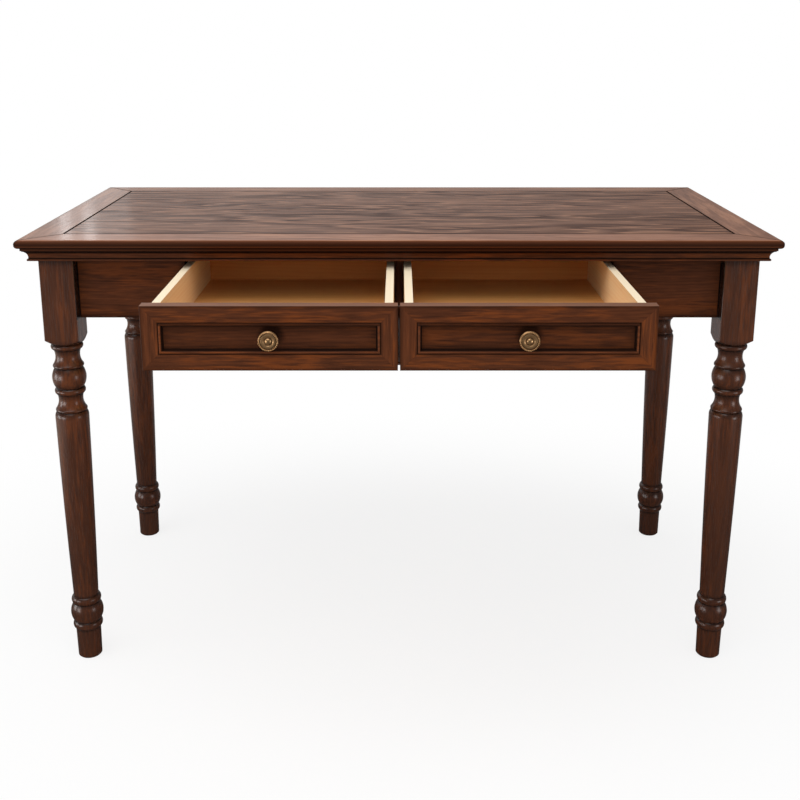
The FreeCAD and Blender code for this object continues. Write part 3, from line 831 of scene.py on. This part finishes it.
class DESK_OT_frame(bpy.types.Operator):
    """Finish the aprons, the fixed front boards, the rails and the divider"""

    bl_idname = "desk.finish_frame"
    bl_label = "Aprons and rails"

    first_seed = 91
    grain = {
        "apron_left": "Y", "apron_right": "Y", "apron_back": "X", "front_board_left": "X",
        "front_board_right": "X", "front_top_rail": "X", "front_low_rail": "X", "drawer_divider": "Z",
    }
    light = 0.82
    right_light = 0.72
    # Glaze and painted shade along each board's edges, and painted shadow in the gap beside a post.
    rim_reach = (-2.0 * MM, 14.0 * MM)
    rim_glaze = 0.75

    def execute(self, context):
        detail = context.scene.desk_detail
        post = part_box("leg_front_left")[1]
        for seed, (name, along) in enumerate(self.grain.items()):
            low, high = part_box(name)
            side, inner = ("Y", abs(post.y)) if along == "Y" else ("X", abs(post.x))

            def corners(paint):
                rim = paint.inset(low, high, side + "Z")
                soft = self.rim_glaze - self.rim_glaze * paint.step(rim, *self.rim_reach)
                # Painted shadow in the gap beside the post.
                from_post = inner - abs(paint.at[side])
                gap = 1.0 - paint.step(from_post, detail.post_gap * 0.5, detail.post_gap)
                return paint.larger(soft, gap * GAP_SHADOW)

            stained_wood(
                name, along, self.first_seed + seed, wood_tones(), detail.ring, corners,
                light=self.right_light if name.endswith("right") else self.light,
                contrast=0.5, warmth=0.5, pith=0.05,
            )
        return {"FINISHED"}


class DESK_OT_inside(bpy.types.Operator):
    """Finish the runners, kickers, stop rails, corner blocks and screws"""

    bl_idname = "desk.finish_inside"
    bl_label = "Runners and blocks"

    first_seed = 111
    gloss = 0.62

    def execute(self, context):
        finish = context.scene.desk_finish
        tones = (finish.inner, finish.inner_dark)
        guides = nodes_named("drawer_runner_", "drawer_kicker_")
        for seed, name in enumerate(guides + ["drawer_stop_rails", "corner_blocks"]):
            along = "Y" if name in guides else "X"
            plain_wood("bare_" + name, name, along, self.first_seed + seed, tones, self.gloss)
        screws = [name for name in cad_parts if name.endswith(("screw", "screws"))]
        plated_steel("screw_steel").put_on(*screws)
        return {"FINISHED"}


class DESK_OT_drawer_fronts(bpy.types.Operator):
    """Finish the drawers' framed fronts: rails, stiles, panel and bead"""

    bl_idname = "desk.finish_drawer_fronts"
    bl_label = "Drawer fronts"

    first_seed = 131
    # Frame: glaze on its mitres, glaze and painted shade in the groove beside the bead, and glaze along
    # the rim of its face.
    mitre_glaze = 0.15
    groove_width = 1.6 * MM
    groove_glaze_and_shade = 0.6
    face_depths = (0.5 * MM, 1.5 * MM)
    rim_width = 6.0 * MM
    rim_glaze = 0.5
    # Panel: glaze and painted shade that fade in two stages from the bead, and a painted shadow round
    # the knob, set off up and aside.
    near_reach = (5.0 * MM, 7.5 * MM)
    near_glaze = 0.6
    far_reach = (6.0 * MM, 24.0 * MM)
    far_glaze = 0.3
    panel_rim_glaze_and_shade = 0.9
    knob_shade_aside = 2.0 * MM
    knob_shade_above = 4.0 * MM
    knob_shade_reach = (10.0 * MM, 24.0 * MM)
    knob_shade = 0.85
    # Bead: glaze and painted shade in its outer and inner creases, and painted shade under its upper
    # rail.
    outer_crease = (0.4 * MM, 1.8 * MM)
    outer_glaze = 0.8
    inner_crease = (3.4 * MM, 4.8 * MM)
    inner_glaze = 0.95
    shade_start = 5.5 * MM
    shade_full = 4.0 * MM
    shade_glaze = 0.7
    # Upper face of the top rail, made paler towards its top.
    pale_top_depth = 0.4 * MM
    pale_top_share = 0.3

    def execute(self, context):
        finish = context.scene.desk_finish
        detail = context.scene.desk_detail
        for number, drawer in enumerate(DRAWERS):
            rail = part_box(drawer + "_front_top_rail")
            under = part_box(drawer + "_front_bottom_rail")
            low = Vector((rail[0].x, rail[0].y, under[0].z))
            high = rail[1]
            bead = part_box(drawer + "_front_bead")
            knob_low, knob_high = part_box(drawer + "_knob")
            hub = (knob_low + knob_high) / 2
            hub += Vector((self.knob_shade_aside, 0.0, self.knob_shade_above))

            def frame_glaze_and_shade(paint):
                mitre = paint.line(
                    paint.inside(low, high, "X") - paint.inside(low, high, "Z"), 0.0, detail.joint
                )
                from_bead = 0.0 - paint.inset(*bead, "XZ")
                groove = 1.0 - paint.step(from_bead, 0.0, self.groove_width)
                face = 1.0 - paint.step(paint.at["Y"] - low.y, *self.face_depths)
                rim = (1.0 - paint.step(paint.inset(low, high, "XZ"), 0.0, self.rim_width)) * face
                return paint.larger(
                    mitre * self.mitre_glaze, groove * self.groove_glaze_and_shade, rim * self.rim_glaze
                )

            def panel_glaze_and_shade(paint):
                rim = paint.inset(*bead, "XZ")
                near = self.near_glaze * paint.step(rim, *self.near_reach)
                far = self.far_glaze * paint.step(rim, *self.far_reach)
                # Painted shadow round the knob.
                away = paint.away(paint.at["X"] - hub.x, paint.at["Z"] - hub.z)
                shaded = 1.0 - paint.step(away, *self.knob_shade_reach)
                return paint.larger(self.panel_rim_glaze_and_shade - near - far, shaded * self.knob_shade)

            def bead_glaze_and_shade(paint):
                rim = paint.inset(*bead, "XZ")
                outer = 1.0 - paint.step(rim, *self.outer_crease)
                inner = paint.step(rim, *self.inner_crease)
                top = bead[1].z
                shaded = paint.step(paint.at["Z"], top - self.shade_start, top - self.shade_full)
                return paint.larger(
                    outer * self.outer_glaze, inner * self.inner_glaze, shaded * self.shade_glaze
                )

            def upper(paint, colour):
                rubbed = paint.step(paint.at["Z"], high.z - self.pale_top_depth, high.z)
                return paint.mix(colour, finish.top_pale, rubbed * self.pale_top_share)

            # Direction of the grain, glaze, light, contrast and warmth of each piece.
            pieces = {
                "front_top_rail": ("X", frame_glaze_and_shade, 0.95, 0.45, 0.7),
                "front_bottom_rail": ("X", frame_glaze_and_shade, 0.95, 0.45, 0.7),
                "front_stile_left": ("Z", frame_glaze_and_shade, 1.0, 0.45, 0.7),
                "front_stile_right": ("Z", frame_glaze_and_shade, 1.0, 0.45, 0.7),
                "front_panel": ("X", panel_glaze_and_shade, 0.80, 0.45, 0.5),
                "front_bead": ("X", bead_glaze_and_shade, 1.1, 0.4, 0.6),
            }
            first_seed = self.first_seed + DRAWER_SEEDS * number
            for seed, (piece, (along, glaze, light, contrast, warmth)) in enumerate(pieces.items()):
                stained_wood(
                    drawer + "_" + piece, along, first_seed + seed, wood_tones(), detail.ring, glaze,
                    light=light, contrast=contrast, warmth=warmth,
                    edge=upper if piece == "front_top_rail" else None, pith=0.06,
                )
        return {"FINISHED"}


class DESK_OT_meeting_strips(bpy.types.Operator):
    """Set a thin dark rounded strip on the edge where each drawer front meets the other, painted shade
    in the gap between them
    """

    bl_idname = "desk.make_meeting_strips"
    bl_label = "Meeting strips"

    back_inset = 0.1 * MM
    section_steps = 8

    def execute(self, context):
        detail = context.scene.desk_detail
        for drawer, stile, side in (("drawer_left", "right", 1), ("drawer_right", "left", 0)):
            low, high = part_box(drawer + "_front_stile_" + stile)
            edge = (low, high)[side].x
            outward = detail.strip if side else -detail.strip
            bottom = Vector((edge, high.y - self.back_inset, low.z + detail.strip_drop))
            rise = Vector((0.0, 0.0, high.z - low.z - 2 * detail.strip_drop))
            strip = bmesh.new()
            section = []
            for step in range(self.section_steps + 1):
                angle = math.pi * step / self.section_steps
                across = detail.strip_depth * (1.0 - math.cos(angle)) / 2
                offset = Vector((outward * math.sin(angle) ** 0.5, -across, 0.0))
                section.append(strip.verts.new(bottom + offset))
            face = strip.faces.new(section)
            made = bmesh.ops.extrude_face_region(strip, geom=[face])["geom"]
            raised = [part for part in made if isinstance(part, bmesh.types.BMVert)]
            bmesh.ops.translate(strip, vec=rise, verts=raised)
            bmesh.ops.recalc_face_normals(strip, faces=strip.faces)
            piece = add_piece(context.scene, drawer + "_meeting_strip", strip)
            # Painted shade: the dark strip stands in for the shade in the gap between the fronts.
            piece.data.materials.append(painted_gap_shade("stain_" + piece.name).material)
            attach(piece, drawer)
        return {"FINISHED"}


class DESK_OT_drawer_boxes(bpy.types.Operator):
    """Finish the sides, backs, bottoms and stops of the drawers"""

    bl_idname = "desk.finish_drawer_boxes"
    bl_label = "Drawer boxes"

    first_seed = 161
    grain = {"side_left": "Y", "side_right": "Y", "back": "X", "bottom": "X", "stop": "X"}
    # Painted shade on the back and bottom: each is darkened and warmed by its wash.
    washes = {"bottom": (0.90, 0.76, 0.62), "back": (0.80, 0.58, 0.40)}
    gloss = 0.46
    planed_depth = 0.6 * MM
    planed_share = 0.8

    def execute(self, context):
        finish = context.scene.desk_finish
        for number, drawer in enumerate(DRAWERS):
            first_seed = self.first_seed + DRAWER_SEEDS * number
            for seed, (piece, along) in enumerate(self.grain.items()):
                name = drawer + "_" + piece
                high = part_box(name)[1]

                def planed(paint, colour):
                    upper = paint.step(paint.at["Z"], high.z - self.planed_depth, high.z)
                    return paint.mix(colour, finish.pale_edge, upper * self.planed_share)

                # The sides take the paler tones as painted light.
                sides = piece.startswith("side_")
                tones = (finish.side, finish.side_dark) if sides else (finish.pale, finish.pale_dark)
                plain_wood(
                    "pale_" + name, name, along, first_seed + seed, tones, self.gloss,
                    edge=None if piece == "bottom" else planed, shade_wash=self.washes.get(piece),
                )
        return {"FINISHED"}


class DESK_OT_knobs(bpy.types.Operator):
    """Finish the brass knobs and set a row of beads round each rim"""

    bl_idname = "desk.make_knobs"
    bl_label = "Knobs"

    rim_inset = 1.5 * MM
    face_inset = 1.6 * MM
    bead_rounding = 2
    bead_rubbing = 1.0

    def execute(self, context):
        detail = context.scene.desk_detail
        for drawer in DRAWERS:
            name = drawer + "_knob"
            low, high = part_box(name)
            centre = Vector(((low.x + high.x) / 2, low.y, (low.z + high.z) / 2))
            radius = (high.x - low.x) / 2
            aged_brass("brass_" + name, centre, radius).put_on(name)
            beads = bmesh.new()
            rim = radius - self.rim_inset
            for index in range(detail.bead_count):
                angle = 2 * math.pi * index / detail.bead_count
                offset = Vector((rim * math.cos(angle), self.face_inset, rim * math.sin(angle)))
                bmesh.ops.create_icosphere(
                    beads, subdivisions=self.bead_rounding, radius=detail.bead,
                    matrix=Matrix.Translation(centre + offset),
                )
            piece = add_piece(context.scene, name + "_beads", beads)
            piece.data.shade_smooth()
            brass = aged_brass("brass_" + piece.name, centre, radius, self.bead_rubbing)
            piece.data.materials.append(brass.material)
            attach(piece, drawer)
        return {"FINISHED"}


class DESK_OT_stage(bpy.types.Operator):
    """Set the camera, the pale floor and the soft lights"""

    bl_idname = "desk.set_stage"
    bl_label = "Stage"

    # Setting and share of each lamp's power, its size, its place, the point that it faces,
    # and whether it lights the desk or only shows in its gloss.
    lamps = {
        "overhead_lamp": ("overhead", 1.0, (3.0, 2.4), (-0.8, -1.2, 3.2), (0.0, 0.0, 0.5), True),
        "left_lamp": ("sides", 1.0, (0.7, 0.66), (-1.9, -1.5, 0.40), (-0.5, -0.25, 0.4), False),
        "right_lamp": ("sides", 0.7, (0.7, 0.66), (1.9, -1.5, 0.40), (0.5, -0.25, 0.4), False),
        "rim_lamp": ("rim", 1.0, (0.7, 0.66), (-2.25, -0.45, 0.40), (-0.55, -0.25, 0.40), False),
        "strip_lamp": ("strip", 1.0, (0.25, 1.3), (-0.98, 1.5, 1.2), (-0.48, -0.25, 0.76), False),
        "outer_narrow_lamp": (
            "glint", 1.0, (0.035, 0.5), (-1.064, 1.5, 1.26), (-0.53, -0.28, 0.76), False
        ),
        "inner_narrow_lamp": (
            "glint", 1.0, (0.035, 0.5), (-0.987, 1.5, 1.26), (-0.49, -0.28, 0.76), False
        ),
    }
    # Floor: corners of its outline, the oval round the desk outside which it is white, the least
    # share of white, and the places between which its colour in the gloss changes.
    floor_corners = 96
    oval = (0.75, 1.0, 0.0)
    oval_range = (0.35, 1.1)
    least_white = 0.80
    more_white = 0.20
    back_range = (-0.2, 1.0)
    left_range = (1.1, 1.6)
    left_front_range = (-1.6, -0.8)
    # Surroundings, by the direction of sight: levels on the left and right of the screen behind the
    # desk, the directions where the screen sets in, and the even light from behind and in front.
    screen_slope = 2.0
    screen_least = 0.3
    screen_most = 2.2
    screen_back_range = (-0.2, 0.7)
    screen_rise_range = (0.0, 0.2)
    back_light = 0.62
    front_light = 0.70
    front_range = (-0.4, 0.9)

    def execute(self, context):
        stage = context.scene.desk_stage
        self.set_camera(context.scene, stage)
        self.set_floor(context.scene, stage)
        self.set_world(context.scene, stage)
        for name, (setting, share, *hanging) in self.lamps.items():
            self.add_lamp(context.scene, name, getattr(stage, setting) * share, *hanging)
        context.scene.view_settings.view_transform = "Standard"
        return {"FINISHED"}

    def set_camera(self, scene, stage):
        """Stand the camera in front of the desk."""
        data = bpy.data.cameras.new("desk_camera")
        data.lens = stage.lens
        data.shift_x, data.shift_y = stage.shift
        camera = bpy.data.objects.new("desk_camera", data)
        camera.location = (0.0, -stage.distance, stage.height)
        camera.rotation_euler = (math.pi / 2 - stage.pitch, 0.0, 0.0)
        scene.collection.objects.link(camera)
        scene.camera = camera

    def set_floor(self, scene, stage):
        """Lay a round pale floor that fades to white far from the desk."""
        disc = bmesh.new()
        bmesh.ops.create_circle(
            disc, cap_ends=True, segments=self.floor_corners, radius=stage.floor_radius
        )
        floor = add_piece(scene, "floor", disc)
        paint = Finish("pale_floor", Roughness=0.9, Specular_IOR_Level=0.1)
        oval = paint.vector("MULTIPLY", paint.place, self.oval)
        reach = paint.node("VectorMath", {"operation": "LENGTH"}, {0: oval})["Value"]
        rays = paint.node("LightPath")
        behind = paint.step(paint.at["Y"], *self.back_range)
        left = paint.step(0.0 - paint.at["X"], *self.left_range)
        left = left * paint.step(paint.at["Y"], *self.left_front_range)
        mirrored = paint.mix(stage.floor_near, stage.floor_far, behind)
        mirrored = paint.mix(mirrored, stage.floor_left, left)
        paint.coat(Base_Color=paint.mix(stage.floor, mirrored, rays["Is Glossy Ray"]))
        white = paint.node("Emission", None, {"Color": WHITE, "Strength": 1.0})["Emission"]
        far = paint.step(reach, *self.oval_range)
        share = paint.direct(rays) * (self.least_white + self.more_white * far)
        lit = Socket(paint, paint.shader.outputs["BSDF"])
        mixed = paint.node("MixShader", None, {0: share, 1: lit, 2: white})["Shader"]
        paint.feed(paint.tree.nodes["Material Output"].inputs["Surface"], mixed)
        floor.data.materials.append(paint.material)

    def set_world(self, scene, stage):
        """Light the desk evenly, with white where the camera looks past it."""
        world = bpy.data.worlds.new("studio")
        world.use_nodes = True
        scene.world = world
        paint = Paint(world.node_tree)
        rays = paint.node("LightPath")
        way = paint.parts(paint.node("TexCoord")["Generated"])
        aside = paint.larger(1.0 - way["X"] * self.screen_slope, self.screen_least)
        aside = paint.smaller(aside, self.screen_most)
        behind = paint.step(way["Y"], *self.screen_back_range)
        behind = behind * paint.step(way["Z"], *self.screen_rise_range)
        glossy = rays["Is Glossy Ray"] * (stage.room + stage.screen * behind * aside)
        front = paint.step(0.0 - way["Y"], *self.front_range)
        even = (self.back_light + self.front_light * front) * stage.ambient
        background = paint.tree.nodes["Background"]
        paint.feed(background.inputs["Color"], WHITE)
        strength = paint.larger(paint.direct(rays), glossy + (1.0 - rays["Is Glossy Ray"]) * even)
        paint.feed(background.inputs["Strength"], strength)

    def add_lamp(self, scene, name, watts, size, place, target, soft):
        """Hang a rectangular lamp that faces a point; one that isn't soft only shows as gloss."""
        data = bpy.data.lights.new(name, "AREA")
        data.shape = "RECTANGLE"
        data.size, data.size_y = size
        data.energy = watts
        lamp = bpy.data.objects.new(name, data)
        lamp.location = place
        lamp.rotation_euler = (Vector(target) - Vector(place)).to_track_quat("-Z", "Y").to_euler()
        lamp.visible_camera = False
        lamp.visible_diffuse = soft
        scene.collection.objects.link(lamp)


OPERATORS = (
    DESK_OT_top,
    DESK_OT_moulding,
    DESK_OT_legs,
    DESK_OT_frame,
    DESK_OT_inside,
    DESK_OT_drawer_fronts,
    DESK_OT_meeting_strips,
    DESK_OT_drawer_boxes,
    DESK_OT_knobs,
    DESK_OT_stage,
)
GROUPS = {"desk_finish": DeskFinish, "desk_detail": DeskDetail, "desk_stage": DeskStage}


class DESK_PT_panel(bpy.types.Panel):
    """Lists the desk's finishes and their settings"""

    bl_idname = "DESK_PT_panel"
    bl_label = "Writing desk"
    bl_space_type = "VIEW_3D"
    bl_region_type = "UI"
    bl_category = "Desk"

    def draw(self, context):
        for operator in OPERATORS:
            self.layout.operator(operator.bl_idname)
        for name, group in GROUPS.items():
            box = self.layout.box()
            for setting in group.__annotations__:
                box.prop(getattr(context.scene, name), setting)


def register():
    """Register the classes, and the settings on the scene."""
    for cls in (*GROUPS.values(), *OPERATORS, DESK_PT_panel):
        bpy.utils.register_class(cls)
    for name, group in GROUPS.items():
        setattr(bpy.types.Scene, name, PointerProperty(type=group))


def unregister():
    """Remove what register added."""
    for name in GROUPS:
        delattr(bpy.types.Scene, name)
    for cls in reversed((*GROUPS.values(), *OPERATORS, DESK_PT_panel)):
        bpy.utils.unregister_class(cls)


def main():
    """Finish the desk piece by piece."""
    register()
    bpy.ops.desk.finish_top()
    bpy.ops.desk.finish_moulding()
    bpy.ops.desk.finish_legs()
    bpy.ops.desk.finish_frame()
    bpy.ops.desk.finish_inside()
    bpy.ops.desk.finish_drawer_fronts()
    bpy.ops.desk.make_meeting_strips()
    bpy.ops.desk.finish_drawer_boxes()
    bpy.ops.desk.make_knobs()
    bpy.ops.desk.set_stage()
    bpy.context.view_layer.update()


if __name__ == "__main__":
    main()
